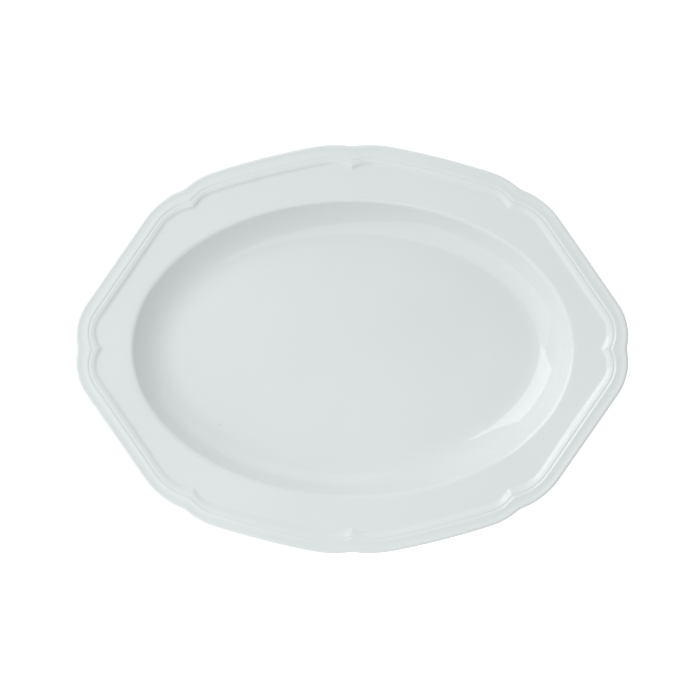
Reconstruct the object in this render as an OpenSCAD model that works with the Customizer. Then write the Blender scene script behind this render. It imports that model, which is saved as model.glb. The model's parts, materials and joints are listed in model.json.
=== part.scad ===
// China serving platter: a scalloped rim of eight sides, with a moulded border, round an oval well.
// It lies in XY with its length along X, and stands on Z = 0 on the bare face of its foot ring.
// Every surface is a stack of closed rings. Each ring is known by its inset, which is how far it
// lies in from the lip: the first ones follow the scalloped lip, and those of the well are ovals.

/* [Overall] */
// Length over the two end lobes
platter_l = 368; // [305:1:442]
// Width over the side lobes
platter_w = 272; // [226:1:328]
// Height of the lip above the table
platter_h = 30; // [25:0.5:36]

/* [Rim] */
// Width of the rim, from the end notch in the lip to the edge of the well
rim_w = 36; // [30:0.5:43]
// Rise of the rim from the edge of the well to the lip, without the border's relief
rim_rise = 3.2; // [1:0.1:5]
// Thickness of the rim at the edge of the well
rim_t = 4.2; // [3.4:0.1:5.2]
// Thickness of the rounded lip
lip_t = 3.2; // [2.6:0.1:3.9]

/* [Moulded border] */
// Width of the border, from the lip to the foot of its step
border_w = 14; // [11.5:0.1:17]
// Height of the border's outer bead above the plain rim
border_relief = 1.9; // [1.2:0.1:2.5]
// Depth of the hollow band between the lip and the outer bead
hollow_depth = 0.35; // [0.1:0.05:0.6]
// Depth of the groove between the two beads
groove_depth = 0.6; // [0.3:0.05:0.9]

/* [Well] */
// Width of the well's wall in plan, from its edge to the flat floor
wall_w = 22.5; // [18:0.5:27]
// Width of the rounded shoulder on each side of the well's edge
shoulder_w = 2.5; // [1.5:0.1:4]
// Thickness of the well's wall, measured straight down
wall_t = 6; // [5:0.1:7.2]
// Thickness of the floor
floor_t = 4.7; // [3.9:0.1:5.8]

/* [Foot ring] */
// Height of the foot ring below the base
foot_h = 2.8; // [2.2:0.1:3.6]
// Width of the foot ring, and so of the flat face that the platter stands on
foot_w = 3.6; // [3:0.1:4.6]
// Distance from the edge of the flat floor out to the middle of the foot ring
foot_out = 1; // [-1:0.5:2]
// Height of the bare band, where the glaze is wiped off
bare_h = 1; // [0.6:0.1:1.5]

/* [Glaze] */
// Thickness of the glaze
glaze_t = 0.3; // [0.2:0.05:0.4]

/* [Hidden] */

clay_colour = [0.93, 0.93, 0.90];
bare_colour = [0.88, 0.86, 0.81];
glaze_colour = [0.90, 0.93, 0.93];

// Corners of one quarter of the lip, from the notch at its end to the notch at its side:
// [x as a share of the half length, y as a share of the half width,
//  how far it moves in along x and along y for each mm of inset,
//  how far it is rounded, as a share of its shorter side, and the steps in that curve]
end_notch = [0.9925, 0, 1.20, 0, 0.10, 2];
end_lobe = [1.0074, 0.1324, 0.92, 0.46, 0.71, 4];
low_lobe = [0.7003, 0.7320, 0.74, 0.65, 0.75, 3];
corner_notch = [0.6082, 0.7828, 0.53, 0.96, 0.15, 2];
high_lobe = [0.5507, 0.8438, 0.15, 1.00, 0.52, 3];
side_bow = [0.3333, 0.9435, 0.25, 0.97, 0.80, 3];
side_lobe = [0.0710, 1.0072, 0.35, 0.95, 0.83, 3];
side_notch = [0, 0.9934, 0, 1.14, 0.16, 2];
// Plain points along the straight side between the end lobe and the low lobe
side_points = 2;
// Share of a notch's rounding that is left at the foot of the border's step
notch_sharpness = 0.4;

// Lines of the border, as shares of its width in from the lip
hollow_at = 0.30;
outer_bead_at = 0.57;
groove_at = 0.65;
inner_bead_at = 0.74;
step_at = 0.82;
// Heights of the inner bead and of the top of the step, as shares of the relief
inner_bead_share = 0.76;
step_share = 0.66;

// The wall falls steeply from the shoulder and eases into the floor by this power
wall_power = 1.9;
wall_steps = 5;
shoulder_steps = 2;
lip_steps = 4;
under_steps = 4;

function mix(a, b, t) = a + (b - a) * t;
function reversed(list) = [for (i = [len(list) - 1:-1:0]) list[i]];
function right_of(v) = [v[1], -v[0]] / norm(v);
// Points along the curve from a to c that touches the lines from them to b
function curve(a, b, c, steps) = [
    for (k = [0:steps])
        let (t = k / steps)
        mix(mix(a, b, t), mix(b, c, t), t)
];

// Rings

side_line = [
    for (i = [1:side_points])
        let (t = i / (side_points + 1))
        concat([for (k = [0:3]) mix(end_lobe[k], low_lobe[k], t)], [0, 0])
];
quarter = concat(
    [end_notch, end_lobe],
    side_line,
    [low_lobe, corner_notch, high_lobe, side_bow, side_lobe, side_notch]
);
quarter_end = len(quarter) - 1;

function is_notch(corner) =
    corner == end_notch || corner == corner_notch || corner == side_notch;

// One corner at this inset, in the quarter where x has sign sx and y has sign sy
function placed(corner, inset, sx, sy) = [
    [
        sx * (corner[0] * platter_l / 2 - corner[2] * inset),
        sy * (corner[1] * platter_w / 2 - corner[3] * inset)
    ],
    corner[4] * (is_notch(corner) ? mix(1, notch_sharpness, inset / border_w) : 1),
    corner[5]
];

// All the corners at this inset, anticlockwise from the notch on +X
function corners(inset) = concat(
    [for (i = [0:quarter_end]) placed(quarter[i], inset, 1, 1)],
    [for (i = [quarter_end - 1:-1:0]) placed(quarter[i], inset, -1, 1)],
    [for (i = [1:quarter_end]) placed(quarter[i], inset, -1, -1)],
    [for (i = [quarter_end - 1:-1:1]) placed(quarter[i], inset, 1, -1)]
);

// Corner b, rounded between its neighbours a and c
function rounded(a, b, c) =
    let (
        to_a = a[0] - b[0],
        to_c = c[0] - b[0],
        reach = b[1] * min(norm(to_a), norm(to_c))
    )
    b[2] == 0
        ? [b[0]]
        : curve(b[0] + reach * to_a / norm(to_a), b[0], b[0] + reach * to_c / norm(to_c), b[2]);

function scalloped(inset) =
    let (list = corners(inset), n = len(list))
    [for (i = [0:n - 1]) each rounded(list[(i + n - 1) % n], list[i], list[(i + 1) % n])];

// Rounding draws the lobes in a little, so the border is stretched out to its full size
drawn_lip = scalloped(0);
stretch_l = platter_l / 2 / max([for (p = drawn_lip) p[0]]);
stretch_w = platter_w / 2 / max([for (p = drawn_lip) p[1]]);
function border_ring(inset) = [
    for (p = scalloped(inset))
        [p[0] * stretch_l, p[1] * stretch_w]
];
step_ring = border_ring(border_w);
ring_n = len(step_ring);

// An oval with a point in the direction of each point of the step's ring
function oval(half_l, half_w) = [
    for (p = step_ring)
        p / norm([p[0] / half_l, p[1] / half_w])
];

well_inset = rim_w + (1 - end_notch[0]) * platter_l / 2;
floor_inset = well_inset + wall_w;
well_ring = oval(platter_l / 2 - well_inset, platter_w / 2 - well_inset);

// The ring at any inset: the border's, then one that turns oval across the plain rim, then ovals
function ring(inset) =
    inset <= border_w ? border_ring(inset) :
    inset >= well_inset ? oval(platter_l / 2 - inset, platter_w / 2 - inset) :
    mix(step_ring, well_ring, (inset - border_w) / (well_inset - border_w));

// Profile, as chains of [inset, height]

edge_z = platter_h - border_relief - rim_rise;
floor_z = foot_h + floor_t;
lip_r = lip_t / 2;
function rim_z(inset) = edge_z + rim_rise * (1 - inset / well_inset);
function wall_z(share) = floor_z + (edge_z - floor_z) * pow(1 - share, wall_power);
function wall_point(share) = [well_inset + wall_w * share, wall_z(share)];
function rim_point(inset, lift = 0) = [inset, rim_z(inset) + lift];
function border_point(at, lift) = rim_point(at * border_w, lift);
function under_rim(inset) = rim_point(inset, -mix(lip_t, rim_t, inset / well_inset));

// The glazed face, from the edge of the flat floor out to the lip
face = concat(
    [for (k = [wall_steps:-1:1]) wall_point(k / wall_steps)],
    curve(
        wall_point(shoulder_w / wall_w),
        [well_inset, edge_z],
        rim_point(well_inset - shoulder_w),
        shoulder_steps
    ),
    [
        rim_point(border_w),
        border_point(step_at, border_relief * step_share),
        border_point(inner_bead_at, border_relief * inner_bead_share),
        border_point(groove_at, border_relief - groove_depth),
        border_point(outer_bead_at, border_relief),
        border_point(hollow_at, border_relief - hollow_depth)
    ]
);

// The half round of the lip
edge = [
    for (k = [0:lip_steps])
        let (angle = 90 + 180 * k / lip_steps)
        [lip_r * (1 + cos(angle)), platter_h - lip_r * (1 - sin(angle))]
];

// The foot ring, and the plane on which the clay body meets it
joint_z = foot_h + glaze_t;
foot_outer = floor_inset - foot_out - foot_w / 2;
foot_inner = foot_outer + foot_w;

// The glazed underside, from the lip in to the side of the foot ring
foot_corner = foot_outer - glaze_t;
wall_start = well_inset - shoulder_w;
function under_wall(share) =
    let (inset = mix(wall_start, foot_corner, share))
    [inset, max(wall_z((inset - well_inset) / wall_w) - wall_t, joint_z)];
under = concat(
    [under_rim(hollow_at * border_w), under_rim(border_w), under_rim(wall_start)],
    [for (k = [1:under_steps - 1]) under_wall(k / under_steps)],
    [[foot_corner, joint_z]]
);

// A chain moved by t to its left-hand side
function beside(chain, t) = [
    for (i = [0:len(chain) - 1])
        let (
            here = chain[i],
            before = right_of(here - chain[max(i, 1) - 1]),
            after = right_of(chain[min(i, len(chain) - 2) + 1] - here),
            n1 = i == 0 ? after : before,
            n2 = i == len(chain) - 1 ? before : after
        )
        here - t * (n1 + n2) / (1 + n1 * n2)
];

glaze_skin = concat(face, edge, under);
under_glaze = beside(glaze_skin, glaze_t);
clay_skin = concat(
    [for (i = [0:len(under_glaze) - 2]) under_glaze[i]],
    [[foot_outer, joint_z]]
);

// A solid through a chain of rings, closed by a flat oval across the first and the last of them.
// The triangles between two rings lie the same way whichever solid they bound, so solids that
// share a surface meet on it exactly.
module ring_solid(chain) {
    n = len(chain);
    middle = n * ring_n;
    far = (n - 1) * ring_n;
    points = concat(
        [for (c = chain) each [for (p = ring(c[0])) [p[0], p[1], c[1]]]],
        [[0, 0, chain[0][1]], [0, 0, chain[n - 1][1]]]
    );
    function order(i) = chain[i][0] + chain[i][1] / platter_l;
    walls = [
        for (i = [0:n - 2], j = [0:ring_n - 1])
            let (
                next = (j + 1) % ring_n,
                a = i * ring_n + j,
                b = i * ring_n + next,
                c = b + ring_n,
                d = a + ring_n
            )
            each order(i) < order(i + 1)
                ? [[a, b, c], [a, c, d]]
                : [[a, b, d], [b, c, d]]
    ];
    ends = [
        for (j = [0:ring_n - 1])
            let (next = (j + 1) % ring_n)
            each [[middle, next, j], [middle + 1, far + j, far + next]]
    ];
    polyhedron(points = points, faces = concat(walls, ends), convexity = 6);
}

// The fired clay: rim, border, well and base in one piece
module porcelain_body() {
    color(clay_colour)
        ring_solid(concat(clay_skin, [[foot_inner, joint_z]]));
}

// The ring under the base, with the flat face that the platter stands on
module foot_ring() {
    color(bare_colour)
        linear_extrude(joint_z)
            difference() {
                polygon(ring(foot_outer));
                polygon(ring(foot_inner));
            }
}

// The coat over the face, round the lip and down the underside to the bare band
module outer_glaze() {
    coat_end = [[foot_corner, bare_h], [foot_outer, bare_h]];
    color(glaze_colour)
        ring_solid(concat(glaze_skin, coat_end, reversed(clay_skin)));
}

// The separate coat over the base and down the inside of the foot ring to the bare band
module base_glaze() {
    color(glaze_colour)
        ring_solid([
            [foot_inner, joint_z],
            [foot_inner, bare_h],
            [foot_inner + glaze_t, bare_h],
            [foot_inner + glaze_t, foot_h]
        ]);
}

porcelain_body();
foot_ring();
outer_glaze();
base_glaze();
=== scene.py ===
"""China serving platter: a scalloped, moulded border round an oval well, on a bare foot ring."""
import json
import math

import bmesh
import bpy
import numpy as np
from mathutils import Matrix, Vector

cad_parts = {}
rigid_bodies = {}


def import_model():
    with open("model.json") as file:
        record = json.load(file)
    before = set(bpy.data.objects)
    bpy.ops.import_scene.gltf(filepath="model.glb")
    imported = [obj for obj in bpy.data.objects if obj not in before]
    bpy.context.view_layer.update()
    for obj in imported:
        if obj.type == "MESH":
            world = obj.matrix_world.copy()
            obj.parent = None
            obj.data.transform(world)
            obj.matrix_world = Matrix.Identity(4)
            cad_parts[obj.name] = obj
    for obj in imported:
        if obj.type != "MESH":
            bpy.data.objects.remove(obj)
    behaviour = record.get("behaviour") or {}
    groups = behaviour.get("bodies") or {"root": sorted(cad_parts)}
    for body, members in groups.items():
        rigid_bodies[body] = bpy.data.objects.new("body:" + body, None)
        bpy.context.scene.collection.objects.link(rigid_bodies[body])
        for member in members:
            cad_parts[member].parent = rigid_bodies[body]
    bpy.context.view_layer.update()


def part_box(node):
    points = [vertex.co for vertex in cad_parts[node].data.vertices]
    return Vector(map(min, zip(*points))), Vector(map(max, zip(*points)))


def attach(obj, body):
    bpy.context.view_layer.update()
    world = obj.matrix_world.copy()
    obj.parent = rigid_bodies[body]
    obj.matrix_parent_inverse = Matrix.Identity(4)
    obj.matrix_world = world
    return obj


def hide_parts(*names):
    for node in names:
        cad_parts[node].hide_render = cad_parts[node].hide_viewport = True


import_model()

# Sizes, in metres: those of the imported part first, then those of its profile. An inset is a
# distance in from the lip, and an outset the distance out from the edge of the well

MM = 0.001
low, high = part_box("outer_glaze")
half_l, half_w, lip_z = high
bare_z = low.z
joint_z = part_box("porcelain_body")[0].z
foot_half_l, foot_half_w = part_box("foot_ring")[1].xy
base_half_l, base_half_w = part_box("base_glaze")[1].xy

glaze_t = 0.3 * MM
lip_r = 1.6 * MM
border_w = 14 * MM
border_relief = 1.9 * MM
rim_rise = 3.2 * MM
rim_t = 4.2 * MM
well_inset = 37.38 * MM
shoulder_w = 2.5 * MM
wall_w = 31 * MM
wall_power = 2.6
wall_t = 6 * MM
under_wall_w = 22.5 * MM
under_wall_power = 1.9
edge_z = lip_z - border_relief - rim_rise
floor_z = 7.5 * MM
floor_inset = well_inset + wall_w
middle_inset = floor_inset + 50 * MM
foot_round = 0.5 * MM
base_round = 0.9 * MM
smooth_angle = math.radians(50)

# Corners of a quarter of the lip, from the notch at its end to the notch at its side. The first
# two numbers are shares of the half length and half width, the next two how far the corner moves
# in for each unit of inset, then how far it is rounded as a share of its shorter side, and the
# steps in that curve
END_NOTCH = (0.9925, 0, 1.20, 0, 0.10, 4)
END_LOBE = (1.0074, 0.1324, 0.92, 0.46, 0.71, 5)
LOW_LOBE = (0.7003, 0.7320, 0.74, 0.65, 0.75, 6)
CORNER_NOTCH = (0.6082, 0.7828, 0.53, 0.96, 0.15, 4)
HIGH_LOBE = (0.5507, 0.8438, 0.15, 1.00, 0.52, 4)
SIDE_BOW = (0.3333, 0.9435, 0.25, 0.97, 0.80, 8)
SIDE_LOBE = (0.0710, 1.0072, 0.35, 0.95, 0.83, 5)
SIDE_NOTCH = (0, 0.9934, 0, 1.14, 0.16, 4)
NOTCHES = (END_NOTCH, CORNER_NOTCH, SIDE_NOTCH)

# Share of its rounding that a notch keeps at the foot of the border
NOTCH_SHARPNESS = 0.4


def part_way(a, b, share):
    return a + (b - a) * share


def plain_point(share):
    """A point of the straight side between the end lobe and the low lobe"""
    return tuple(part_way(END_LOBE[k], LOW_LOBE[k], share) for k in range(4)) + (0, 0)


QUARTER = (
    END_NOTCH, END_LOBE, plain_point(1 / 3), plain_point(2 / 3), LOW_LOBE,
    CORNER_NOTCH, HIGH_LOBE, SIDE_BOW, SIDE_LOBE, SIDE_NOTCH,
)
QUARTER_STEPS = len(QUARTER) - 1
SIDE_CUTS = 3

# Rounding draws the lobes in a little, so the border is stretched out to its full size
STRETCH_L = 184 / 183.67
STRETCH_W = 136 / 135.97

# Border, from the foot of its step out to the lip: inset and height above the plain rim, in mm
BORDER = (
    (16.0, 0.00), (14.5, 0.06), (13.7, 0.28), (12.8, 0.86), (12.1, 1.24), (11.4, 1.36),
    (10.9, 1.43), (10.4, 1.57), (9.9, 1.58), (9.4, 1.46), (9.0, 1.46), (8.5, 1.66),
    (8.1, 1.81), (7.6, 1.87), (6.9, 1.77), (5.8, 1.62), (4.0, 1.57), (2.5, 1.82),
)

# Share of the plain rim's smooth cone in the border's first rings
CONE_SHARES = (1, 0.9, 0.65, 0.3)


# Tools for choosing points and edges by their place

def edit_mesh():
    return bmesh.from_edit_mesh(bpy.context.object.data)


def choose_points(wanted):
    """Select the points of the piece in hand that are wanted, and nothing else"""
    bpy.ops.mesh.select_mode(type="VERT")
    bpy.ops.mesh.select_all(action="DESELECT")
    mesh = edit_mesh()
    for point in mesh.verts:
        if wanted(point):
            point.select_set(True)
    mesh.select_flush(True)
    bmesh.update_edit_mesh(bpy.context.object.data)


def choose_mirrored(places):
    """Select the loose points that lie at these places, in every quarter"""
    near = 0.01 * MM
    choose_points(lambda point: not point.link_faces and any(
        abs(abs(point.co.x) - place[0]) < near and abs(abs(point.co.y) - place[1]) < near
        for place in places
    ))


def choose_faces(wanted):
    bpy.ops.mesh.select_mode(type="FACE")
    bpy.ops.mesh.select_all(action="DESELECT")
    for face in edit_mesh().faces:
        face.select_set(wanted(face))
    bmesh.update_edit_mesh(bpy.context.object.data)


def choose_open_edges(wanted=lambda edge: True):
    bpy.ops.mesh.select_mode(type="EDGE")
    bpy.ops.mesh.select_all(action="DESELECT")
    for edge in edit_mesh().edges:
        if len(edge.link_faces) < 2 and wanted(edge):
            edge.select_set(True)
    bmesh.update_edit_mesh(bpy.context.object.data)


def fit_to(length, width, height):
    """Stretch the piece in hand so that it reaches these sizes from the middle of the table"""
    points = edit_mesh().verts
    reach = [max(point.co[axis] for point in points) for axis in range(3)]
    bpy.ops.mesh.select_all(action="SELECT")
    bpy.ops.transform.resize(
        value=(length / reach[0], width / reach[1], height / reach[2]), center_override=(0, 0, 0)
    )


def finish_with(kind, **values):
    """Add a modifier to the piece in hand and apply it"""
    bpy.ops.object.modifier_add(type=kind)
    modifier = bpy.context.object.modifiers[-1]
    for name, value in values.items():
        setattr(modifier, name, value)
    bpy.ops.object.modifier_apply(modifier=modifier.name)


# Rings

def corner_place(corner, inset):
    x = corner[0] * half_l - corner[2] * inset
    y = corner[1] * half_w - corner[3] * inset
    return Vector((x, y))


def scalloped_ring(inset, z):
    """A closed ring that follows the lip at this inset"""
    bpy.ops.object.select_all(action="DESELECT")
    bpy.ops.mesh.primitive_circle_add(
        vertices=4 * QUARTER_STEPS, radius=1, fill_type="NOTHING", location=(0, 0, 0)
    )
    ring = bpy.context.object
    bpy.ops.object.mode_set(mode="EDIT")
    bpy.ops.transform.translate(value=(0, 0, z))
    places = [corner_place(corner, inset) for corner in QUARTER]

    # Each point of the circle goes to its corner
    for step, place in enumerate(places):
        angle = math.radians(90 * step / QUARTER_STEPS)
        start = Vector((math.cos(angle), math.sin(angle)))
        along_x = place.x / start.x if step < QUARTER_STEPS else 1
        along_y = place.y / start.y if step > 0 else 1
        choose_mirrored([start])
        bpy.ops.transform.resize(value=(along_x, along_y, 1), center_override=(0, 0, z))

    # The corners are rounded, and the straight sides cut into more steps
    for step, corner in enumerate(QUARTER):
        if corner[5] == 0:
            continue
        here = places[step]
        beside = [places[n] for n in (step - 1, step + 1) if 0 <= n <= QUARTER_STEPS]
        share = corner[4]
        if corner in NOTCHES:
            share *= part_way(1, NOTCH_SHARPNESS, min(inset / border_w, 1))
        choose_mirrored([here])
        bpy.ops.mesh.bevel(
            affect="VERTICES", offset_type="ABSOLUTE", clamp_overlap=False, profile=0.5,
            offset=share * min((here - other).length for other in beside), segments=corner[5],
        )
    choose_mirrored([places[step] for step, corner in enumerate(QUARTER) if corner[5] == 0])
    bpy.ops.mesh.select_more()
    bpy.ops.mesh.subdivide(number_cuts=SIDE_CUTS)
    bpy.ops.mesh.select_all(action="SELECT")
    bpy.ops.transform.resize(value=(STRETCH_L, STRETCH_W, 1), center_override=(0, 0, z))
    bpy.ops.object.mode_set(mode="OBJECT")
    return ring


def oval_ring(inset, z):
    """A closed oval with a point in the direction of each point of the border's foot"""
    ring = scalloped_ring(border_w, z)
    oval_l = half_l - inset
    oval_w = half_w - inset
    bpy.ops.object.mode_set(mode="EDIT")
    bpy.ops.transform.resize(value=(1 / oval_l, 1 / oval_w, 1), center_override=(0, 0, z))
    bpy.ops.transform.tosphere(value=1, center_override=(0, 0, z))
    radius = max(point.co.x for point in edit_mesh().verts)
    bpy.ops.transform.resize(
        value=(oval_l / radius, oval_w / radius, 1), center_override=(0, 0, z)
    )
    bpy.ops.object.mode_set(mode="OBJECT")
    return ring


def join_ring(surface, ring, cuts=0):
    """Bridge the open edge of the surface to one more ring"""
    bpy.ops.object.select_all(action="DESELECT")
    ring.select_set(True)
    surface.select_set(True)
    bpy.context.view_layer.objects.active = surface
    bpy.ops.object.join()
    bpy.ops.object.mode_set(mode="EDIT")
    choose_open_edges()
    bpy.ops.mesh.bridge_edge_loops(number_cuts=cuts, interpolation="LINEAR")
    bpy.ops.object.mode_set(mode="OBJECT")


def carry_oval(surface, chain):
    """Extrude the open oval edge of the surface along a chain of insets and heights"""
    bpy.context.view_layer.objects.active = surface
    bpy.ops.object.mode_set(mode="EDIT")
    choose_open_edges()
    for (inset, z), (to_inset, to_z) in zip(chain, chain[1:]):
        along_x = (half_l - to_inset) / (half_l - inset)
        along_y = (half_w - to_inset) / (half_w - inset)
        bpy.ops.mesh.extrude_edges_move()
        bpy.ops.transform.translate(value=(0, 0, to_z - z))
        bpy.ops.transform.resize(value=(along_x, along_y, 1), center_override=(0, 0, to_z))
    bpy.ops.object.mode_set(mode="OBJECT")


# Profile

def rim_z(inset):
    return edge_z + rim_rise * (1 - inset / well_inset)


def wall_height(inset):
    down = 1 - (inset - well_inset) / wall_w
    return floor_z + (edge_z - floor_z) * max(down, 0) ** wall_power


def under_wall_z(inset):
    down = 1 - (inset - well_inset) / under_wall_w
    return floor_z + (edge_z - floor_z) * max(down, 0) ** under_wall_power - wall_t


def under_rim_z(inset):
    return rim_z(inset) - part_way(2 * lip_r, rim_t, inset / well_inset)


# The platter's skin

def start_floor():
    """The flat middle of the well, filled so that the wall has a face to start from"""
    surface = oval_ring(middle_inset, floor_z)
    bpy.ops.object.mode_set(mode="EDIT")
    bpy.ops.mesh.edge_face_add()
    bpy.ops.object.mode_set(mode="OBJECT")
    return surface


def add_wall(surface):
    """The rest of the floor, the wall and the rounded shoulder above it"""
    insets = [floor_inset + 18 * MM, floor_inset + 2 * MM]
    insets += [well_inset + share * wall_w for share in (0.9, 0.78, 0.66, 0.54, 0.42, 0.3, 0.18)]
    floor_and_wall = [(inset, wall_height(inset)) for inset in insets]
    shoulder = [
        (well_inset + 2.2 * MM, wall_height(well_inset + 2.2 * MM)),
        (well_inset + 0.9 * MM, edge_z - 0.86 * MM),
        (well_inset - 0.3 * MM, edge_z - 0.28 * MM),
        (well_inset - 1.6 * MM, rim_z(well_inset - 1.6 * MM) - 0.05 * MM),
    ]
    carry_oval(surface, [(middle_inset, floor_z)] + floor_and_wall + shoulder)


def add_rim(surface):
    """The plain rim and the moulded border"""
    for k, (inset, lift) in enumerate(BORDER):
        ring = scalloped_ring(inset * MM, rim_z(inset * MM) + lift * MM)
        join_ring(surface, ring, cuts=5 if k == 0 else 0)


def add_lip(surface, steps=6):
    """The half round lip, from its top to its underside"""
    for k in range(steps + 1):
        turn = math.radians(90 + 180 / steps * k)
        ring = scalloped_ring(lip_r * (1 + math.cos(turn)), lip_z - lip_r * (1 - math.sin(turn)))
        join_ring(surface, ring)


def add_underside(surface, steps=6):
    """The underside of the rim and the wall, and the foot down to its bare band"""
    for inset in (4.2 * MM, border_w):
        join_ring(surface, scalloped_ring(inset, under_rim_z(inset)))
    wall_start = well_inset - shoulder_w
    join_ring(surface, oval_ring(wall_start, under_rim_z(wall_start)), cuts=1)
    foot_corner = half_l - foot_half_l - glaze_t
    under = [(wall_start, under_rim_z(wall_start))]
    for k in range(1, steps):
        inset = part_way(wall_start, foot_corner, k / steps)
        under.append((inset, max(under_wall_z(inset), joint_z)))
    # Close rings keep the corner above the foot crisp when the skin is subdivided
    under += [
        (foot_corner - 0.1 * MM, joint_z + 0.1 * MM),
        (foot_corner, joint_z - 0.4 * MM),
        (foot_corner, bare_z),
    ]
    carry_oval(surface, under)


def make_surface():
    """The whole glazed face and underside, as one smooth surface that is open at the foot"""
    surface = start_floor()
    add_wall(surface)
    add_rim(surface)
    add_lip(surface)
    add_underside(surface)
    soften_rim(surface)
    bpy.ops.object.mode_set(mode="EDIT")
    bpy.ops.mesh.select_all(action="SELECT")
    bpy.ops.mesh.normals_make_consistent(inside=False)
    choose_faces(lambda face: len(face.verts) > 4)
    bpy.ops.mesh.delete(type="ONLY_FACE")
    bpy.ops.object.mode_set(mode="OBJECT")
    finish_with("SUBSURF", levels=1, render_levels=1)
    bpy.ops.object.mode_set(mode="EDIT")
    choose_open_edges(lambda edge: edge.verts[0].co.z > joint_z)
    bpy.ops.mesh.edge_face_add()
    bpy.ops.mesh.poke()
    fit_to(half_l, half_w, lip_z)
    bpy.ops.object.mode_set(mode="OBJECT")
    return surface


def out_from_well(x, y):
    """The outset of a place, and its turn round the well"""
    oval_l, oval_w = half_l - well_inset, half_w - well_inset
    size = math.hypot(x / oval_l, y / oval_w)
    spread = math.hypot(x / oval_l ** 2, y / oval_w ** 2)
    return (size - 1) * size / spread, math.atan2(y / oval_w, x / oval_l)


def waves(angle):
    """Waves that fit the rim's width all round, because its quarters are alike"""
    return [math.cos(2 * k * angle) for k in range(4)]


def soften_rim(surface):
    """Lay the plain rim as one smooth cone, so that no line runs in from a notch or a lobe"""
    foot_z = rim_z(BORDER[0][0] * MM)
    same_level = 0.004 * MM
    bpy.ops.object.mode_set(mode="EDIT")
    mesh = edit_mesh()
    foot = [point for point in mesh.verts if abs(point.co.z - foot_z) < same_level]
    measured = [out_from_well(point.co.x, point.co.y) for point in foot]
    widths, *_ = np.linalg.lstsq(
        np.array([waves(angle) for _, angle in measured]),
        np.array([width for width, _ in measured]), rcond=None,
    )
    blends = [
        (rim_z(inset * MM) + lift * MM, lift * MM, share)
        for (inset, lift), share in zip(BORDER, CONE_SHARES)
    ]
    start_l = half_l - well_inset + 1 * MM
    start_w = half_w - well_inset + 1 * MM
    for point in mesh.verts:
        x, y, z = point.co
        if math.hypot(x / start_l, y / start_w) < 1:
            continue
        share, lift = 0, 0
        if edge_z - 0.2 * MM < z < foot_z - same_level:
            share = 1
        for ring_z, ring_lift, ring_share in blends:
            if abs(z - ring_z) < same_level:
                share, lift = ring_share, ring_lift
        if share:
            outset, angle = out_from_well(x, y)
            rise = (foot_z - edge_z) * outset / float(np.dot(widths, waves(angle)))
            point.co.z = part_way(z, edge_z + rise + lift, share)
    bmesh.update_edit_mesh(surface.data)
    bpy.ops.object.mode_set(mode="OBJECT")


def copy_of(piece, name):
    bpy.ops.object.select_all(action="DESELECT")
    piece.select_set(True)
    bpy.context.view_layer.objects.active = piece
    bpy.ops.object.duplicate()
    copy = bpy.context.object
    copy.name = name
    copy.data.name = name
    return copy


def make_glaze_coat(surface):
    """The glaze over the face, round the lip and down to the foot's bare band"""
    coat = copy_of(surface, "glaze_coat")
    finish_with("SOLIDIFY", thickness=glaze_t, offset=-1, use_even_offset=True)
    bpy.ops.object.shade_smooth_by_angle(angle=smooth_angle)
    return coat


def make_clay_core(surface):
    """The fired clay under the glaze, down to its joint with the foot ring"""
    core = copy_of(surface, "clay_core")
    bpy.ops.object.mode_set(mode="EDIT")
    bpy.ops.mesh.select_all(action="SELECT")
    bpy.ops.transform.shrink_fatten(value=-glaze_t)
    choose_points(lambda point: point.co.z < joint_z - 0.01 * MM)
    bpy.ops.mesh.delete(type="VERT")
    choose_open_edges()
    bpy.ops.mesh.edge_face_add()
    bpy.ops.mesh.select_all(action="SELECT")
    bpy.ops.mesh.normals_make_consistent(inside=False)
    bpy.ops.object.mode_set(mode="OBJECT")
    bpy.ops.object.shade_smooth_by_angle(angle=smooth_angle)
    return core


def oval_edge(name, oval_l, oval_w, z):
    """Start a piece with an oval edge"""
    bpy.ops.object.select_all(action="DESELECT")
    bpy.ops.mesh.primitive_circle_add(vertices=192, radius=1, fill_type="NOTHING")
    piece = bpy.context.object
    piece.name = name
    piece.data.name = name
    bpy.ops.object.mode_set(mode="EDIT")
    bpy.ops.transform.resize(value=(oval_l, oval_w, 1))
    bpy.ops.transform.translate(value=(0, 0, z))
    return piece


def draw_in(oval_l, oval_w, by, rise=0):
    """Extrude the chosen oval edge inwards and up, and return its new half sizes"""
    bpy.ops.mesh.extrude_edges_move()
    bpy.ops.transform.resize(
        value=((oval_l - by) / oval_l, (oval_w - by) / oval_w, 1), center_override=(0, 0, 0)
    )
    bpy.ops.transform.translate(value=(0, 0, rise))
    return oval_l - by, oval_w - by


def make_foot():
    """The bare ring that the platter stands on, with its edges rubbed round"""
    foot = oval_edge("foot_bare", foot_half_l, foot_half_w, 0)
    draw_in(foot_half_l, foot_half_w, foot_half_l - base_half_l)
    bpy.ops.mesh.select_all(action="SELECT")
    bpy.ops.mesh.extrude_region_move()
    bpy.ops.transform.translate(value=(0, 0, joint_z))
    bpy.ops.mesh.select_mode(type="EDGE")
    bpy.ops.mesh.select_all(action="DESELECT")
    for edge in edit_mesh().edges:
        flat = all(abs(point.co.z) < 0.01 * MM for point in edge.verts)
        tilts = {abs(round(face.normal.z)) for face in edge.link_faces}
        edge.select_set(flat and tilts == {0, 1})
    bmesh.update_edit_mesh(foot.data)
    bpy.ops.mesh.bevel(offset=foot_round, segments=4, profile=0.5)
    bpy.ops.mesh.select_all(action="SELECT")
    bpy.ops.mesh.normals_make_consistent(inside=False)
    bpy.ops.object.mode_set(mode="OBJECT")
    bpy.ops.object.shade_smooth_by_angle(angle=math.radians(35))
    return foot


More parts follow.
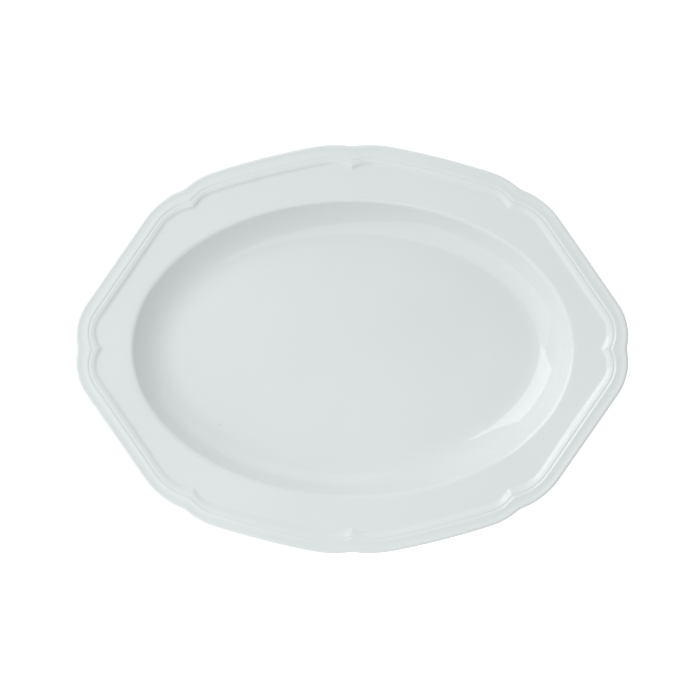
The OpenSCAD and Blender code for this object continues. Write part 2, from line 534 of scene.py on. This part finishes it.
def make_base_coat(steps=5):
    """The glaze over the base and down the inside of the foot ring, curved where they meet"""
    coat = oval_edge("base_coat", base_half_l, base_half_w, joint_z)
    bpy.ops.mesh.edge_face_add()
    choose_open_edges()
    bpy.ops.mesh.extrude_edges_move()
    bpy.ops.transform.translate(value=(0, 0, bare_z - joint_z))
    size = draw_in(base_half_l, base_half_w, glaze_t)
    base_z = joint_z - glaze_t
    bpy.ops.mesh.extrude_edges_move()
    bpy.ops.transform.translate(value=(0, 0, base_z - base_round - bare_z))
    for k in range(steps):
        start = math.radians(90 * k / steps)
        end = math.radians(90 * (k + 1) / steps)
        by = base_round * (math.cos(start) - math.cos(end))
        rise = base_round * (math.sin(end) - math.sin(start))
        size = draw_in(*size, by, rise)
    draw_in(*size, 12 * MM)
    bpy.ops.mesh.edge_face_add()
    bpy.ops.mesh.select_all(action="SELECT")
    bpy.ops.mesh.normals_make_consistent(inside=False)
    bpy.ops.object.mode_set(mode="OBJECT")
    bpy.ops.object.shade_smooth_by_angle(angle=smooth_angle)
    return coat


surface = make_surface()
glaze_coat = make_glaze_coat(surface)
clay_core = make_clay_core(surface)
bpy.data.objects.remove(surface)
foot_bare = make_foot()
base_coat = make_base_coat()


# Finishes

def new_material(name):
    material = bpy.data.materials.new(name)
    material.use_nodes = True
    return material, material.node_tree.nodes, material.node_tree.links


def add_node(nodes, kind, **inputs):
    """Add a node and set its inputs, whose names are given with _ for a space"""
    node = nodes.new("ShaderNode" + kind)
    for name, value in inputs.items():
        node.inputs[name.replace("_", " ")].default_value = value
    return node


def add_tint(nodes, dark, light, dark_end=0, light_end=1):
    """A ramp from one shade to the other"""
    tint = add_node(nodes, "ValToRGB")
    for stop, shade, place in zip(tint.color_ramp.elements, (dark, light), (dark_end, light_end)):
        stop.color = shade
        stop.position = place
    return tint


def add_specks(nodes, links, place):
    """A few small, faint iron specks, each in the middle of a rare cell of a cell pattern"""
    cells = add_node(nodes, "TexVoronoi", Scale=24)
    pick = add_node(nodes, "SeparateColor")
    rare = add_node(nodes, "MapRange", From_Min=0.80, From_Max=0.82)
    dot = add_node(nodes, "MapRange", From_Min=0.008, From_Max=0.012, To_Min=0.45, To_Max=0)
    speck = add_node(nodes, "Math")
    speck.operation = "MULTIPLY"
    links.new(place.outputs["Object"], cells.inputs["Vector"])
    links.new(cells.outputs["Color"], pick.inputs["Color"])
    links.new(pick.outputs["Red"], rare.inputs["Value"])
    links.new(cells.outputs["Distance"], dot.inputs["Value"])
    links.new(rare.outputs["Result"], speck.inputs[0])
    links.new(dot.outputs["Result"], speck.inputs[1])
    return speck


def make_glaze():
    """Clear gloss glaze over white porcelain, with the faint unevenness of a dipped coat"""
    material, nodes, links = new_material("clear_glaze")
    shader = nodes["Principled BSDF"]
    shader.inputs["Specular IOR Level"].default_value = 0.5
    shader.inputs["IOR"].default_value = 1.5
    place = add_node(nodes, "TexCoord")
    clouds = add_node(nodes, "TexNoise", Scale=9, Detail=3)
    tint = add_tint(nodes, (0.70, 0.743, 0.745, 1), (0.722, 0.762, 0.76, 1), 0.3, 0.7)
    links.new(place.outputs["Object"], clouds.inputs["Vector"])
    links.new(clouds.outputs["Fac"], tint.inputs["Fac"])
    speck = add_specks(nodes, links, place)
    spotted = add_node(nodes, "Mix")
    spotted.data_type = "RGBA"
    spotted.inputs["B"].default_value = (0.32, 0.29, 0.25, 1)
    links.new(speck.outputs["Value"], spotted.inputs["Factor"])
    links.new(tint.outputs["Color"], spotted.inputs["A"])
    links.new(spotted.outputs["Result"], shader.inputs["Base Color"])
    wave = add_node(nodes, "TexNoise", Scale=60, Detail=2)
    gloss = add_node(nodes, "MapRange", To_Min=0.012, To_Max=0.035)
    bump = add_node(nodes, "Bump", Strength=0.12, Distance=0.0002)
    links.new(place.outputs["Object"], wave.inputs["Vector"])
    links.new(wave.outputs["Fac"], gloss.inputs["Value"])
    links.new(gloss.outputs["Result"], shader.inputs["Roughness"])
    links.new(wave.outputs["Fac"], bump.inputs["Height"])
    links.new(bump.outputs["Normal"], shader.inputs["Normal"])
    return material


def make_bare(name, light, dark):
    """Unglazed fired clay, dry and slightly gritty"""
    material, nodes, links = new_material(name)
    shader = nodes["Principled BSDF"]
    place = add_node(nodes, "TexCoord")
    grit = add_node(nodes, "TexNoise", Scale=900, Detail=4)
    tint = add_tint(nodes, dark, light)
    rough = add_node(nodes, "MapRange", To_Min=0.6, To_Max=0.85)
    bump = add_node(nodes, "Bump", Strength=0.4, Distance=0.0001)
    links.new(place.outputs["Object"], grit.inputs["Vector"])
    links.new(grit.outputs["Fac"], tint.inputs["Fac"])
    links.new(tint.outputs["Color"], shader.inputs["Base Color"])
    links.new(grit.outputs["Fac"], rough.inputs["Value"])
    links.new(rough.outputs["Result"], shader.inputs["Roughness"])
    links.new(grit.outputs["Fac"], bump.inputs["Height"])
    links.new(bump.outputs["Normal"], shader.inputs["Normal"])
    return material


glaze = make_glaze()
bare = make_bare("bare_clay", (0.62, 0.58, 0.50, 1), (0.50, 0.46, 0.39, 1))
fired = make_bare("fired_clay", (0.72, 0.71, 0.67, 1), (0.66, 0.65, 0.60, 1))
for piece, material, node, slot in (
    (glaze_coat, glaze, "outer_glaze", "glaze"),
    (clay_core, fired, "porcelain_body", "fired_clay"),
    (foot_bare, bare, "foot_ring", "bare_foot"),
    (base_coat, glaze, "base_glaze", "glaze"),
):
    piece.data.materials.clear()
    piece.data.materials.append(material)
    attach(piece, "root")
    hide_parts(node)


# Floor, light and camera

def make_floor():
    bpy.ops.object.select_all(action="DESELECT")
    bpy.ops.mesh.primitive_plane_add(size=6, location=(0, 0, 0))
    floor = bpy.context.object
    floor.name = "studio_floor"
    paper, nodes, _ = new_material("white_paper")
    shader = nodes["Principled BSDF"]
    shader.inputs["Base Color"].default_value = (0.95, 0.95, 0.95, 1)
    shader.inputs["Roughness"].default_value = 0.9
    shader.inputs["Specular IOR Level"].default_value = 0
    shader.inputs["Emission Color"].default_value = (1, 1, 1, 1)
    shader.inputs["Emission Strength"].default_value = 0.45
    floor.data.materials.append(paper)
    return floor


def make_surround():
    """A white studio all round, darker to the right and front, and lighter low down"""
    world = bpy.data.worlds.new("studio_surround")
    bpy.context.scene.world = world
    world.use_nodes = True
    nodes, links = world.node_tree.nodes, world.node_tree.links
    around = add_node(nodes, "TexCoord")
    away = add_node(nodes, "VectorMath")
    away.operation = "DOT_PRODUCT"
    away.inputs[1].default_value = (0.93, -0.37, 0)
    fade = add_node(nodes, "MapRange", From_Min=-1, From_Max=1, To_Min=0.765, To_Max=0.44)
    up = add_node(nodes, "SeparateXYZ")
    rise = add_node(nodes, "MapRange", From_Min=0, From_Max=1, To_Min=1.3, To_Max=0.74)
    both = add_node(nodes, "Math")
    both.operation = "MULTIPLY"
    links.new(around.outputs["Generated"], away.inputs[0])
    links.new(away.outputs["Value"], fade.inputs["Value"])
    links.new(around.outputs["Generated"], up.inputs["Vector"])
    links.new(up.outputs["Z"], rise.inputs["Value"])
    links.new(fade.outputs["Result"], both.inputs[0])
    links.new(rise.outputs["Result"], both.inputs[1])
    links.new(both.outputs["Value"], nodes["Background"].inputs["Strength"])
    nodes["Background"].inputs["Color"].default_value = (1, 1, 1, 1)


def softbox(name, azimuth, elevation, distance, size, watts):
    """A soft light that looks at the middle of the platter, its angles in degrees"""
    turn, tilt = math.radians(azimuth), math.radians(elevation)
    place = Vector((
        distance * math.cos(tilt) * math.cos(turn),
        distance * math.cos(tilt) * math.sin(turn),
        distance * math.sin(tilt),
    ))
    light = bpy.data.lights.new(name, "AREA")
    light.shape = "RECTANGLE"
    light.size, light.size_y = size
    light.energy = watts
    lamp = bpy.data.objects.new(name, light)
    lamp.location = place
    lamp.rotation_euler = (-place).to_track_quat("-Z", "Y").to_euler()
    bpy.context.scene.collection.objects.link(lamp)


def make_camera(view_w=0.4655):
    """A long lens straight overhead, with a view this wide at the height of the lip"""
    overhead = bpy.data.cameras.new("overhead_camera")
    overhead.lens = 200
    overhead.sensor_width = 36
    distance = view_w * overhead.lens / overhead.sensor_width
    camera = bpy.data.objects.new("overhead_camera", overhead)
    camera.location = (-0.0012, -0.0007, distance + lip_z)
    bpy.context.scene.collection.objects.link(camera)
    return camera


make_floor()
make_surround()
softbox("key_light", 148, 48, 1.25, (0.766, 1.04), 6.0)
softbox("fill_panel", 232, 46, 0.7, (0.8, 0.8), 1.6)
softbox("back_panel", 62, 27, 1.2, (1.3, 0.7), 1.5)
bpy.context.scene.camera = make_camera()
bpy.context.scene.view_settings.view_transform = "Standard"
